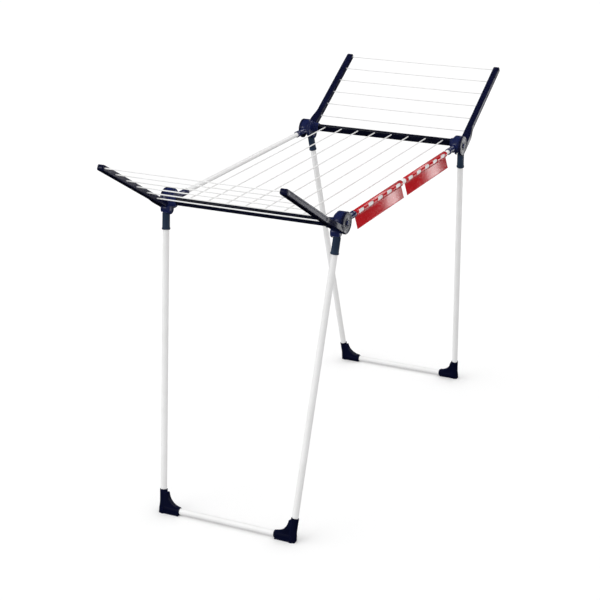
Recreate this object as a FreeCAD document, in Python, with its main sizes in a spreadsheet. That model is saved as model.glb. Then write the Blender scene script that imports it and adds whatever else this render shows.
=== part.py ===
import FreeCAD, Part
import math
import os

import Sketcher
from FreeCAD import Placement, Rotation, Vector

# Folding clothes drying rack with two wings.  Millimetres, +Z up, +X across the rack, -Y towards the
# near wing.  The origin is on the floor under the middle of the rack.
#
# The open rack stands on two leg frames.  The top frame is two crossbars, four corner hubs and two
# side rails, strung with lines.  Each wing is a pair of arms that turn on pins through the hubs and
# fold in over the lines; each leg frame turns on lower pins and folds in under the rails.

doc = FreeCAD.newDocument("drying_rack")
sheet = doc.addObject("Spreadsheet::Sheet", "dims")

DIMENSIONS = [
    ("hub_y", 467.8, "middle of a crossbar to the middle of the rack, along Y"),
    ("hub_z", 880.4, "height of the wing pivots"),
    ("wing_inset", 20.0, "wing pivot inward of the crossbar's middle"),
    ("cheek_inner_x", 246.5, "inboard face of the hub's cheek"),
    ("drum_inner_x", 251.5, "where the cheek ends and the drum begins"),
    ("drum_outer_x", 274.4, "outboard face of the drum"),
    ("cheek_radius", 25.0, "radius of the cheek"),
    ("drum_radius", 31.0, "radius of the drum"),
    ("wing_pin_dia", 8.0, "wing pivot pin"),
    ("leg_pin_dia", 6.0, "leg pivot pin"),
    ("pin_clearance", 0.05, "radial clearance of a pin in its hole"),
    ("pin_end_gap", 0.2, "gap under a wing pin's head and at a leg pin's ends"),
    ("pin_head_dia", 15.0, "head of a wing pivot pin"),
    ("pin_head_depth", 2.4, "depth of a wing pivot pin's head"),
    ("leg_drop", 22.0, "leg pivot below the corner point, along the leg"),
    ("tongue_depth", 11.4, "leg tongue, across the rack"),
    ("tongue_slot", 12.0, "slot for the tongue"),
    ("tongue_x", 263.5, "middle of the tongue"),
    ("tongue_radius", 10.0, "rounded end of the tongue"),
    ("tongue_root", 4.0, "how far the tongue reaches into the sleeve"),
    ("lobe_radius", 15.5, "lobe of the hub round the leg pivot"),
    ("leg_room_x", 250.0, "inboard side of the room that the leg turns in"),
    ("leg_room_radius", 80.0, "room that the hub leaves for the leg to turn in"),
    ("rail_x", 261.0, "side rail's distance from the middle"),
    ("rail_drop", 1.0, "side rail's line below the wing pivot"),
    ("rail_dia", 14.0, "side rail tube"),
    ("rail_socket_dia", 20.0, "socket that holds the side rail"),
    ("rail_socket_reach", 107.0, "crossbar's middle to the socket's open end"),
    ("rail_socket_floor", 37.0, "crossbar's middle to the bottom of the socket's bore"),
    ("tube_wall", 1.0, "wall of every steel tube"),
    ("tube_play", 0.1, "gap round a tube in its socket"),
    ("tube_end_gap", 0.5, "gap between a tube's or line's end and the bottom of its hole"),
    ("bar_height", 22.0, "crossbar section height"),
    ("bar_depth", 15.0, "crossbar section depth"),
    ("bar_round", 4.5, "crossbar edge rounding"),
    ("bar_rise", 2.0, "crossbar's middle above the wing pivot"),
    ("bar_half_length", 241.0, "middle of the rack to a crossbar's end"),
    ("collar_wall", 2.2, "wall of the collar round a crossbar's end"),
    ("collar_inner_x", 231.0, "open end of the collar"),
    ("collar_round", 5.0, "rounding of the collar's long edges"),
    ("line_dia", 3.6, "drying line"),
    ("line_hole_dia", 3.8, "hole for a drying line"),
    ("line_pitch", 58.6, "spacing of the lines in the middle"),
    ("line_rise", 6.5, "middle lines above the wing pivot"),
    ("line_hole_depth", 7.0, "depth of a line's hole"),
    ("wing_raise", 30.3, "degrees that an open wing stands above level"),
    ("wing_line_first", 88.5, "wing pivot to the nearest wing line"),
    ("wing_line_pitch", 59.2, "spacing of the wing lines"),
    ("arm_length", 394.2, "wing pivot to the arm's tip"),
    ("arm_top", -12.8, "upper face of the arm, from the pivot"),
    ("arm_bottom", -31.2, "lower face of the arm, from the pivot"),
    ("arm_outer_x", 281.4, "outboard face of the arm's disc"),
    ("arm_disc_depth", 6.6, "depth of the arm's disc"),
    ("arm_inner_x", 254.0, "inboard face of the arm"),
    ("arm_slim_x", 274.0, "outboard face of the slim part of the arm"),
    ("arm_slim_from", 58.0, "pivot to the start of the taper to the slim part"),
    ("arm_slim_to", 110.0, "pivot to the end of that taper"),
    ("arm_gap", 0.6, "gap between the arm and the drum"),
    ("arm_round", 2.5, "rounding of the arm's long edges"),
    ("arm_slimming", 1.0, "how far each face of the arm closes in towards the tip"),
    ("arm_tip_round", 7.0, "rounding of the arm's tip"),
    ("groove_width", 6.0, "groove along the outboard face of the arm"),
    ("groove_depth", 1.0, "depth of that groove"),
    ("groove_inset", 16.0, "tip of the arm to the end of that groove"),
    ("leg_top_x", 265.4, "leg's line at the height of the wing pivot"),
    ("leg_foot_x", 205.4, "leg's line at the foot"),
    ("leg_dia", 18.0, "leg tube and foot tube"),
    ("foot_y", 643.0, "foot to the middle of the rack, along Y"),
    ("sleeve_dia", 22.0, "sleeve at the top of a leg"),
    ("sleeve_mouth_dia", 24.4, "bead at the sleeve's mouth"),
    ("sleeve_mouth_depth", 6.0, "depth of that bead, along the leg"),
    ("sleeve_top", 33.5, "corner point to the top of the sleeve, along the leg"),
    ("sleeve_bottom", 81.6, "corner point to the bottom of the sleeve"),
    ("sleeve_bore", 34.0, "depth of the sleeve's bore"),
    ("sleeve_play", 0.6, "gap beside the sleeve inside the hub"),
    ("sleeve_strip", 60.0, "leg pivot to the end of that gap"),
    ("foot_tube_rise", 12.4, "middle of the foot tube above the floor, along the leg frame"),
    ("foot_socket_dia", 22.4, "round socket that holds the leg tube"),
    ("foot_toe_dia", 22.0, "round socket that holds the foot tube"),
    ("foot_web_depth", 17.0, "web between the two sockets, front to back"),
    ("foot_web_drop", 8.0, "top of the web below the top of the foot"),
    ("foot_heel_height", 14.0, "straight part of the foot's outboard edge"),
    ("foot_sole_cut", 6.0, "how far the web is drawn below the floor before it is cut flat"),
    ("foot_outer_x", 216.8, "outboard side of a foot"),
    ("foot_inner_x", 151.0, "inboard end of a foot"),
    ("foot_height", 69.0, "height of a foot"),
    ("foot_toe_height", 22.0, "height of the foot's low inboard end"),
    ("foot_shaft_width", 22.4, "width of the foot's upright part"),
    ("foot_arc", 44.0, "radius of the hollow arc inside a foot"),
    ("foot_end_wall", 6.5, "wall between the foot tube's hole and the outboard side"),
    ("foot_round", 3.0, "rounding of a foot's outboard corners"),
    ("rivet_head_dia", 8.0, "head of a foot rivet"),
    ("rivet_head_depth", 1.4, "depth of a foot rivet's head"),
    ("rivet_shank_dia", 4.0, "shank of a foot rivet"),
    ("rivet_shank_depth", 1.8, "how deep the shank sits in the foot"),
    ("holder_length", 330.0, "length of a peg holder"),
    ("holder_near_y", -357.0, "near end of the near holder"),
    ("holder_far_y", 3.0, "near end of the far holder"),
    ("holder_wall", 2.0, "thickness of a holder"),
    ("holder_play", 0.3, "gap between a holder and the rail"),
    ("holder_waist", 3.0, "bend radius at the holder's waist"),
    ("holder_flare", 15.0, "degrees that the holder's plate flares outboard"),
    ("holder_plate", 31.5, "length of the holder's plate"),
    ("holder_lip_radius", 1.7, "rounded lower edge of the plate"),
    ("holder_pitch", 66.0, "spacing of the holder's windows"),
    ("window_length", 38.0, "length of a window"),
    ("window_height", 13.8, "height of a window"),
    ("window_round", 5.0, "rounding of a window's corners"),
    ("window_sill", -6.0, "bottom of a window, from the rail's line"),
]

for row, (alias, number, note) in enumerate(DIMENSIONS, start=1):
    sheet.set(f"A{row}", note)
    sheet.set(f"B{row}", str(number))
    sheet.setAlias(f"B{row}", alias)
doc.recompute()

CENTRAL_LINES = 8
WING_LINES = 6
WINDOWS = 5
FOLDED_LEG_ANGLE = 103.0    # degrees that the hub leaves open for a leg frame to turn
TUBE_STAND_OFF = 3.0        # bottom of a leg tube above the top of the foot tube
FLOOR_SIZE = 500.0          # block that cuts a foot's sole flat
FLOOR_DEPTH = 50.0
LEG_SLACK = 0.5             # degrees to spare at each end of that opening
NODES = []                  # every finished sub-part, in the order of making


def value(expression):
    """The number that an expression on the sheet gives."""
    result = sheet.evalExpression(expression)
    return float(getattr(result, "Value", result))


def bind(obj, **expressions):
    """Ties properties of an object to expressions on the sheet."""
    for name, expression in expressions.items():
        obj.setExpression(name, expression)
    return obj


def finish(obj, label):
    """Gives a sub-part its name and puts it on the list of things to export."""
    obj.Label = label
    NODES.append(obj)
    return obj


# ---------------------------------------------------------------- solids and sketches


def cylinder(name, radius, height, placement, angle="360"):
    obj = doc.addObject("Part::Cylinder", name)
    bind(obj, Radius=radius, Height=height, Angle=angle)
    obj.Placement = placement
    return obj


def box(name, length, width, height, placement):
    obj = doc.addObject("Part::Box", name)
    bind(obj, Length=length, Width=width, Height=height)
    obj.Placement = placement
    return obj


def fuse(name, shapes):
    obj = doc.addObject("Part::MultiFuse", name)
    obj.Shapes = shapes
    obj.Refine = True
    return obj


def cut(name, base, tool):
    obj = doc.addObject("Part::Cut", name)
    obj.Base = base
    obj.Tool = tool
    obj.Refine = True
    return obj


def group(name, shapes):
    obj = doc.addObject("Part::Compound", name)
    obj.Links = shapes
    return obj


def mirrored(name, source, normal):
    """A mirror image of a part in the plane through the origin with that normal."""
    obj = doc.addObject("Part::Mirroring", name)
    obj.Source = source
    obj.Base = Vector(0, 0, 0)
    obj.Normal = normal
    return obj


def sketch_on(body, name, role, lift="0"):
    """A sketch on one of the body's own planes, lifted along the plane's normal."""
    sketch = body.newObject("Sketcher::SketchObject", name)
    plane = next(f for f in body.Origin.OriginFeatures if f.Role == role)
    sketch.AttachmentSupport = (plane, [""])
    sketch.MapMode = "FlatFace"
    sketch.setExpression("AttachmentOffset.Base.z", lift)
    return sketch


def hold_point(sketch, geometry, end, x, y):
    """Fixes a point of a sketch at two distances from the sketch's origin."""
    for kind, expression, axis in (("DistanceX", x, -2), ("DistanceY", y, -1)):
        distance = value(expression)
        if abs(distance) < 1e-6:
            sketch.addConstraint(Sketcher.Constraint("PointOnObject", geometry, end, axis))
        else:
            index = sketch.addConstraint(Sketcher.Constraint(kind, -1, 1, geometry, end, distance))
            sketch.setExpression(f"Constraints[{index}]", expression)


def add_circle(sketch, diameter, x="0", y="0"):
    centre = Vector(value(x), value(y), 0)
    geometry = sketch.addGeometry(Part.Circle(centre, Vector(0, 0, 1), value(diameter) / 2), False)
    index = sketch.addConstraint(Sketcher.Constraint("Diameter", geometry, value(diameter)))
    sketch.setExpression(f"Constraints[{index}]", diameter)
    hold_point(sketch, geometry, 3, x, y)


def add_outline(sketch, points):
    """A closed outline of straight sides through points given as pairs of expressions."""
    corners = [Vector(value(x), value(y), 0) for x, y in points]
    sides = []
    for start, end in zip(corners, corners[1:] + corners[:1]):
        sides.append(sketch.addGeometry(Part.LineSegment(start, end), False))
    for before, after in zip(sides, sides[1:] + sides[:1]):
        sketch.addConstraint(Sketcher.Constraint("Coincident", before, 2, after, 1))
    for side, (x, y) in zip(sides, points):
        hold_point(sketch, side, 1, x, y)


def add_rectangle(sketch, left, bottom, right, top):
    add_outline(sketch, [(left, bottom), (right, bottom), (right, top), (left, top)])


def feature(body, kind, sketch, length, **settings):
    """A Pad or Pocket of a sketch, with its length bound to the sheet."""
    obj = body.newObject(f"PartDesign::{kind}", f"{sketch.Name}_{kind.lower()}")
    obj.Profile = sketch
    obj.setExpression("Length", length)
    for name, setting in settings.items():
        setattr(obj, name, setting)
    sketch.Visibility = False
    body.Tip = obj
    return obj


def edges_along(shape, direction, shortest, lean=0.01):
    """Names of the straight edges at least that long and within a small lean of a direction."""
    names = []
    for index, edge in enumerate(shape.Edges, start=1):
        if edge.Curve.TypeId == "Part::GeomLine" and edge.Length >= shortest:
            along = edge.Curve.Direction.getAngle(direction)
            if min(along, math.pi - along) < lean:
                names.append(f"Edge{index}")
    return names


def edges_beyond(shape, direction, distance):
    """Names of the edges whose middle lies beyond a distance from the origin in a direction."""
    middles = [(f"Edge{index}", edge.CenterOfMass) for index, edge in enumerate(shape.Edges, start=1)]
    return [name for name, middle in middles if middle.dot(direction) > distance]


def rounded_edges(shape, radius):
    """The edges across the rack with the radius that a Part fillet gives each of them."""
    size = value(radius)
    return [(int(name[4:]), size, size) for name in edges_along(shape, ACROSS, 1.0)]


def round_edges(body, base, names, radius):
    """A PartDesign fillet on named edges of the feature before it."""
    obj = body.newObject("PartDesign::Fillet", f"{base.Name}_round")
    obj.Base = (base, names)
    obj.setExpression("Radius", radius)
    body.Tip = obj
    return obj


def tube(name, label, diameter, length, placement):
    """A round steel tube from its placement's origin along its own Z."""
    body = doc.addObject("PartDesign::Body", name)
    sketch = sketch_on(body, f"{name}_ring", "XY_Plane")
    add_circle(sketch, diameter)
    add_circle(sketch, f"{diameter} - 2 * dims.tube_wall")
    feature(body, "Pad", sketch, length)
    body.Placement = placement
    return finish(body, label)


# ---------------------------------------------------------------- places

ALONG_X = Rotation(Vector(0, 1, 0), 90)      # turns a solid's own Z to +X
ALONG_Y = Rotation(Vector(1, 0, 0), -90)     # turns a solid's own Z to +Y
ENDS = (("near", -1), ("far", 1))
SIDES = (("left", -1), ("right", 1))
ACROSS = Vector(1, 0, 0)
LENGTHWISE = Vector(0, 1, 0)

HUB_Y = value("dims.hub_y")
HUB_Z = value("dims.hub_z")
RAIL_Z = HUB_Z - value("dims.rail_drop")
SPLAY = math.degrees(math.atan2(value("dims.foot_y") - HUB_Y, HUB_Z))
LEG_SPAN = math.hypot(value("dims.foot_y") - HUB_Y, HUB_Z)
TAPER = math.degrees(math.atan2(value("dims.leg_top_x - dims.leg_foot_x"), LEG_SPAN))


def near_hub(x, inward=0.0, up=0.0):
    """A point beside the near corner point: across, towards the rack's middle, and up.

    A corner point is level with the wing pivots, at the middle of a crossbar's depth.
    """
    return Vector(x, inward - HUB_Y, HUB_Z + up)


def near_wing(x):
    """A point on the near wing pivot's line."""
    return near_hub(x, value("dims.wing_inset"))


def leg_pivot():
    """The near leg pivot's distances inward and up from the corner point."""
    drop = value("dims.leg_drop")
    splay = math.radians(SPLAY)
    return -drop * math.sin(splay), -drop * math.cos(splay)


# ---------------------------------------------------------------- corner hubs


def hub_solid():
    """Everything solid in the near right hub, before its holes and slots."""
    cheek = cylinder("hub_cheek", "dims.cheek_radius", "dims.drum_inner_x - dims.cheek_inner_x",
                     Placement(near_wing(value("dims.cheek_inner_x")), ALONG_X))
    drum = cylinder("hub_drum", "dims.drum_radius", "dims.drum_outer_x - dims.drum_inner_x",
                    Placement(near_wing(value("dims.drum_inner_x")), ALONG_X))
    inward, up = leg_pivot()
    lobe = cylinder("hub_lobe", "dims.lobe_radius", "dims.drum_outer_x - dims.cheek_inner_x",
                    Placement(near_hub(value("dims.cheek_inner_x"), inward, up), ALONG_X))
    socket = cylinder("hub_rail_socket", "dims.rail_socket_dia / 2", "dims.rail_socket_reach",
                      Placement(near_hub(value("dims.rail_x"), 0.0, -value("dims.rail_drop")), ALONG_Y))
    wall = value("dims.collar_wall")
    collar = box("hub_collar", "dims.drum_inner_x - dims.collar_inner_x",
                 "dims.bar_depth + 2 * dims.collar_wall", "dims.bar_height + 2 * dims.collar_wall",
                 Placement(near_hub(value("dims.collar_inner_x"),
                                    -value("dims.bar_depth") / 2 - wall,
                                    value("dims.bar_rise - dims.bar_height / 2") - wall), Rotation()))
    doc.recompute()
    soft_collar = doc.addObject("Part::Fillet", "hub_collar_soft")
    soft_collar.Base = collar
    soft_collar.Edges = rounded_edges(collar.Shape, "dims.collar_round")
    return fuse("hub_solid", [cheek, drum, lobe, socket, soft_collar])


def hub_hollows():
    """The near right hub's bores, the crossbar's pocket, and the room that the leg turns in."""
    inward, up = leg_pivot()
    through = "dims.arm_outer_x - dims.cheek_inner_x + 2"
    rail_bore = cylinder("hub_rail_bore", "dims.rail_dia / 2 + dims.tube_play",
                         "dims.rail_socket_reach - dims.rail_socket_floor + 1",
                         Placement(near_hub(value("dims.rail_x"), value("dims.rail_socket_floor"),
                                            -value("dims.rail_drop")), ALONG_Y))
    bar_pocket = box("hub_bar_pocket", "dims.bar_half_length + dims.tube_play - dims.collar_inner_x + 1",
                     "dims.bar_depth + 2 * dims.tube_play", "dims.bar_height + 2 * dims.tube_play",
                     Placement(near_hub(value("dims.collar_inner_x") - 1,
                                        -value("dims.bar_depth / 2 + dims.tube_play"),
                                        value("dims.bar_rise - dims.bar_height / 2 - dims.tube_play")),
                               Rotation()))
    wing_bore = cylinder("hub_wing_bore", "dims.wing_pin_dia / 2 + dims.pin_clearance", through,
                         Placement(near_wing(value("dims.cheek_inner_x") - 1), ALONG_X))
    leg_bore = cylinder("hub_leg_bore", "dims.leg_pin_dia / 2 + dims.pin_clearance", through,
                        Placement(near_hub(value("dims.cheek_inner_x") - 1, inward, up), ALONG_X))
    slot_x = value("dims.tongue_x - dims.tongue_slot / 2")
    tongue_round = cylinder("hub_tongue_round", "dims.sleeve_top - dims.leg_drop + 1",
                            "dims.tongue_slot", Placement(near_hub(slot_x, inward, up), ALONG_X))

    # The sleeve sweeps a sector round the leg pivot, from the open leg to the folded one.  The
    # sector's own X points down before it is turned, so it starts beyond the open leg.
    start = Rotation(Vector(1, 0, 0), -SPLAY - LEG_SLACK)
    room_x = value("dims.leg_room_x")
    room = cylinder("hub_leg_room", "dims.leg_room_radius", "dims.drum_outer_x - dims.leg_room_x",
                    Placement(near_hub(room_x, inward, up), start * ALONG_X),
                    angle=str(FOLDED_LEG_ANGLE + LEG_SLACK))
    keep = cylinder("hub_leg_boss", "dims.sleeve_top - dims.leg_drop - 1.5",
                    "dims.drum_outer_x - dims.leg_room_x",
                    Placement(near_hub(room_x, inward, up), ALONG_X))
    strips = []
    for name, turn in (("open", -SPLAY), ("folded", 90.0)):
        lean = Rotation(ACROSS, turn)
        corner = Vector(0, -value("dims.sleeve_dia / 2 + dims.sleeve_play"), -value("dims.sleeve_strip"))
        place = Placement(near_hub(room_x, inward, up) + lean.multVec(corner), lean)
        strips.append(box(f"hub_leg_{name}", "dims.drum_outer_x - dims.leg_room_x",
                          "dims.sleeve_dia + 2 * dims.sleeve_play", "dims.sleeve_strip", place))
    sweep = cut("hub_leg_sweep", fuse("hub_leg_rooms", [room] + strips), keep)
    return fuse("hub_hollows", [rail_bore, bar_pocket, wing_bore, leg_bore, tongue_round, sweep])


def corner_hubs():
    near_right = finish(cut("near_right_hub_cut", hub_solid(), hub_hollows()), "near_right_hub")
    near_left = finish(mirrored("near_left_hub_mirror", near_right, ACROSS), "near_left_hub")
    finish(mirrored("far_right_hub_mirror", near_right, LENGTHWISE), "far_right_hub")
    finish(mirrored("far_left_hub_mirror", near_left, LENGTHWISE), "far_left_hub")


def pivot_pins():
    """Headed wing pins through the hubs and arms, and plain leg pins inside the hubs."""
    inward, up = leg_pivot()
    shaft_from = value("dims.cheek_inner_x")
    shaft_to = value("dims.arm_outer_x + dims.pin_end_gap")
    wing_pin = fuse("wing_pin", [
        cylinder("wing_pin_shaft", "dims.wing_pin_dia / 2", str(shaft_to - shaft_from),
                 Placement(near_wing(shaft_from), ALONG_X)),
        cylinder("wing_pin_head", "dims.pin_head_dia / 2", "dims.pin_head_depth",
                 Placement(near_wing(shaft_to), ALONG_X)),
    ])
    leg_pin_from = near_hub(value("dims.cheek_inner_x + dims.pin_end_gap"), inward, up)
    leg_pin = cylinder("leg_pin", "dims.leg_pin_dia / 2",
                       "dims.drum_outer_x - dims.cheek_inner_x - 2 * dims.pin_end_gap",
                       Placement(leg_pin_from, ALONG_X))
    for name, pin in (("wing_pivot_pins", wing_pin), ("leg_pivot_pins", leg_pin)):
        near_left = mirrored(f"{name}_near_left", pin, ACROSS)
        far_right = mirrored(f"{name}_far_right", pin, LENGTHWISE)
        far_left = mirrored(f"{name}_far_left", near_left, LENGTHWISE)
        finish(group(f"{name}_group", [pin, near_left, far_right, far_left]), name)


# ---------------------------------------------------------------- top frame


def near_crossbar():
    """A rounded bar across the rack, with a row of blind holes for the lines in its inboard face."""
    body = doc.addObject("PartDesign::Body", "near_crossbar_body")
    section = sketch_on(body, "near_crossbar_section", "YZ_Plane")
    add_rectangle(section, "-dims.bar_depth / 2", "-dims.bar_height / 2",
                  "dims.bar_depth / 2", "dims.bar_height / 2")
    bar = feature(body, "Pad", section, "2 * dims.bar_half_length", Midplane=True)
    doc.recompute()
    round_edges(body, bar, edges_along(bar.Shape, ACROSS, 100.0), "dims.bar_round")
    holes = sketch_on(body, "near_crossbar_holes", "XZ_Plane", "-dims.bar_depth / 2")
    for index in range(CENTRAL_LINES):
        place = index - (CENTRAL_LINES - 1) / 2
        add_circle(holes, "dims.line_hole_dia", f"{place} * dims.line_pitch",
                   "dims.line_rise - dims.bar_rise")
    feature(body, "Pocket", holes, "dims.line_hole_depth", Reversed=True)
    body.Placement = Placement(near_hub(0, 0, value("dims.bar_rise")), Rotation())
    return body


def crossbars():
    near = finish(near_crossbar(), "near_crossbar")
    finish(mirrored("far_crossbar_mirror", near, LENGTHWISE), "far_crossbar")


def side_rails():
    end = value("dims.hub_y - dims.rail_socket_floor - dims.tube_end_gap")
    for side, sign in SIDES:
        place = Placement(Vector(sign * value("dims.rail_x"), -end, RAIL_Z), ALONG_Y)
        tube(f"{side}_rail_body", f"{side}_side_rail", "dims.rail_dia",
             "2 * (dims.hub_y - dims.rail_socket_floor - dims.tube_end_gap)", place)


def rod(name, label, length, placement):
    """A taut line: a round rod from its placement's origin along its own Z."""
    body = doc.addObject("PartDesign::Body", name)
    sketch = sketch_on(body, f"{name}_round", "XY_Plane")
    add_circle(sketch, "dims.line_dia")
    feature(body, "Pad", sketch, length)
    body.Placement = placement
    return finish(body, label)


def central_lines():
    """Lines from crossbar to crossbar, each ending inside its hole."""
    reach = "(dims.hub_y - dims.bar_depth / 2 + dims.line_hole_depth - dims.tube_end_gap)"
    for index in range(CENTRAL_LINES):
        x = (index - (CENTRAL_LINES - 1) / 2) * value("dims.line_pitch")
        place = Placement(Vector(x, -value(reach), HUB_Z + value("dims.line_rise")), ALONG_Y)
        rod(f"central_line_{index + 1}_body", f"central_line_{index + 1}", f"2 * {reach}", place)


# ---------------------------------------------------------------- wings


def arm_frame():
    """The near right arm's own frame: X along the arm, Y square to it and up, Z inboard."""
    raise_angle = value("dims.wing_raise")
    along = Vector(0, -math.cos(math.radians(raise_angle)), math.sin(math.radians(raise_angle)))
    upward = Vector(0, math.sin(math.radians(raise_angle)), math.cos(math.radians(raise_angle)))
    turn = Rotation(along, upward, -ACROSS, "ZXY")
    return Placement(near_wing(value("dims.arm_outer_x")), turn)


def near_right_arm():
    body = doc.addObject("PartDesign::Body", "near_right_arm_body")
    disc = sketch_on(body, "arm_disc", "XY_Plane")
    add_circle(disc, "2 * dims.drum_radius")
    feature(body, "Pad", disc, "dims.arm_disc_depth")

    beam = sketch_on(body, "arm_beam", "XY_Plane")
    add_outline(beam, [
        ("dims.wing_pin_dia / 2", "dims.arm_bottom"),
        ("dims.arm_length", "dims.arm_bottom + dims.arm_slimming"),
        ("dims.arm_length", "dims.arm_top - dims.arm_slimming"),
        ("dims.wing_pin_dia / 2", "dims.arm_top"),
    ])
    bar = feature(body, "Pad", beam, "dims.arm_outer_x - dims.arm_inner_x")
    doc.recompute()
    tip = [name for name in edges_along(bar.Shape, Vector(0, 0, 1), 5.0)
           if name in edges_beyond(bar.Shape, Vector(1, 0, 0), value("dims.arm_length") - 1)]
    round_edges(body, bar, tip, "dims.arm_tip_round")

    # The beam is only as deep as the disc until it is clear of the drum's rim and the hub's lobe.
    room = sketch_on(body, "arm_hub_room", "XY_Plane", "dims.arm_disc_depth")
    add_rectangle(room, "-dims.drum_radius", "dims.arm_bottom - dims.arm_gap",
                  "sqrt((dims.drum_radius + dims.arm_gap)^2 - dims.arm_top^2)", "dims.arm_top + dims.arm_gap")
    feature(body, "Pocket", room, "dims.arm_outer_x - dims.arm_inner_x", Reversed=True)

    taper = sketch_on(body, "arm_taper", "XZ_Plane", "dims.arm_top - 1")
    add_outline(taper, [
        ("dims.arm_slim_from", "0"),
        ("dims.arm_slim_to", "dims.arm_outer_x - dims.arm_slim_x"),
        ("dims.arm_length + 2", "dims.arm_outer_x - dims.arm_slim_x"),
        ("dims.arm_length + 2", "-1"),
        ("dims.arm_slim_from", "-1"),
    ])
    slim = feature(body, "Pocket", taper, "2 * dims.drum_radius")
    doc.recompute()
    long_edges = [name for name in edges_along(slim.Shape, Vector(1, 0, 0), 60.0)
                  if name in edges_beyond(slim.Shape, Vector(1, 0, 0), value("dims.arm_slim_to"))]
    round_edges(body, slim, long_edges, "dims.arm_round")

    groove = sketch_on(body, "arm_groove", "XY_Plane", "dims.arm_outer_x - dims.arm_slim_x")
    middle = "(dims.arm_top + dims.arm_bottom) / 2"
    add_rectangle(groove, "dims.arm_slim_to + dims.groove_inset / 2", f"{middle} - dims.groove_width / 2",
                  "dims.arm_length - dims.groove_inset", f"{middle} + dims.groove_width / 2")
    feature(body, "Pocket", groove, "dims.groove_depth", Reversed=True)

    holes = sketch_on(body, "arm_line_holes", "XY_Plane", "dims.arm_outer_x - dims.arm_inner_x")
    for index in range(WING_LINES):
        add_circle(holes, "dims.line_hole_dia",
                   f"dims.wing_line_first + {index} * dims.wing_line_pitch", middle)
    feature(body, "Pocket", holes, "dims.line_hole_depth")

    bore = sketch_on(body, "arm_bore", "XY_Plane")
    add_circle(bore, "dims.wing_pin_dia + 2 * dims.pin_clearance")
    feature(body, "Pocket", bore, "dims.arm_disc_depth + 1", Reversed=True)
    body.Placement = arm_frame()
    return body


def wing_arms():
    near_right = finish(near_right_arm(), "near_right_arm")
    near_left = finish(mirrored("near_left_arm_mirror", near_right, ACROSS), "near_left_arm")
    finish(mirrored("far_right_arm_mirror", near_right, LENGTHWISE), "far_right_arm")
    finish(mirrored("far_left_arm_mirror", near_left, LENGTHWISE), "far_left_arm")


def wing_lines():
    """Lines from arm to arm, numbered from the pivot outwards."""
    reach = "(dims.arm_inner_x + dims.line_hole_depth - dims.tube_end_gap)"
    middle = value("(dims.arm_top + dims.arm_bottom) / 2")
    frame = arm_frame()
    for end, sign in ENDS:
        for index in range(WING_LINES):
            along = value("dims.wing_line_first") + index * value("dims.wing_line_pitch")
            spot = frame.multVec(Vector(along, middle, 0))
            place = Placement(Vector(-value(reach), -sign * spot.y, spot.z), ALONG_X)
            rod(f"{end}_wing_line_{index + 1}_body", f"{end}_wing_line_{index + 1}",
                f"2 * {reach}", place)


# ---------------------------------------------------------------- leg frames


def leg_frame(sign):
    """A leg frame's own frame: on the floor, X across, Z up the slope of the legs."""
    foot_y = value("dims.foot_y")
    return Placement(Vector(0, sign * foot_y, 0), Rotation(Vector(1, 0, 0), sign * SPLAY))


def leg_line(distance_up, side):
    """A place on a leg's line in the leg frame, with Z up the leg."""
    x = value("dims.leg_foot_x") + distance_up * math.tan(math.radians(TAPER))
    return Placement(Vector(side * x, 0, distance_up), Rotation(Vector(0, 1, 0), side * TAPER))


def sleeve(name, label, sign, side):
    """A leg's top: a tongue with an eye for the pin, on a sleeve that takes the leg tube."""
    lean = math.cos(math.radians(TAPER))
    top = LEG_SPAN - value("dims.sleeve_top")
    bottom = LEG_SPAN - value("dims.sleeve_bottom")
    pivot = Vector(side * value("dims.tongue_x"), 0, LEG_SPAN - value("dims.leg_drop"))
    half = value("dims.tongue_depth / 2")
    body = cylinder(f"{name}_outside", "dims.sleeve_dia / 2", str((top - bottom) / lean),
                    leg_line(bottom, side))
    mouth = cylinder(f"{name}_mouth", "dims.sleeve_mouth_dia / 2", "dims.sleeve_mouth_depth",
                     leg_line(bottom, side))
    past = 5.0
    bore = cylinder(f"{name}_bore", "dims.leg_dia / 2 + dims.tube_play", f"dims.sleeve_bore + {past}",
                    leg_line(bottom - past * lean, side))
    eye = cylinder(f"{name}_eye", "dims.tongue_radius", "dims.tongue_depth",
                   Placement(pivot - Vector(half, 0, 0), ALONG_X))
    root = top - value("dims.tongue_root")
    neck = box(f"{name}_neck", "dims.tongue_depth", "2 * dims.tongue_radius",
               "dims.sleeve_top - dims.leg_drop + dims.tongue_root",
               Placement(Vector(pivot.x - half, -value("dims.tongue_radius"), root), Rotation()))
    pin_hole = cylinder(f"{name}_pin_hole", "dims.leg_pin_dia / 2 + dims.pin_clearance",
                        f"dims.tongue_depth + 2 * {past}",
                        Placement(pivot - Vector(half + past, 0, 0), ALONG_X))
    solid = cut(f"{name}_cut", fuse(f"{name}_solid", [body, mouth, eye, neck]),
                fuse(f"{name}_holes", [bore, pin_hole]))
    solid.Placement = leg_frame(sign)
    return finish(solid, label)


def leg_tube(name, label, sign, side):
    """A leg tube from inside the foot to inside the sleeve."""
    lean = math.cos(math.radians(TAPER))
    start = value("dims.foot_tube_rise + dims.leg_dia / 2") + TUBE_STAND_OFF
    end = LEG_SPAN - value("dims.sleeve_bottom") + value("dims.sleeve_bore - dims.tube_end_gap") * lean
    length = (end - start) / lean
    return tube(name, label, "dims.leg_dia", str(length), leg_frame(sign).multiply(leg_line(start, side)))


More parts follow.
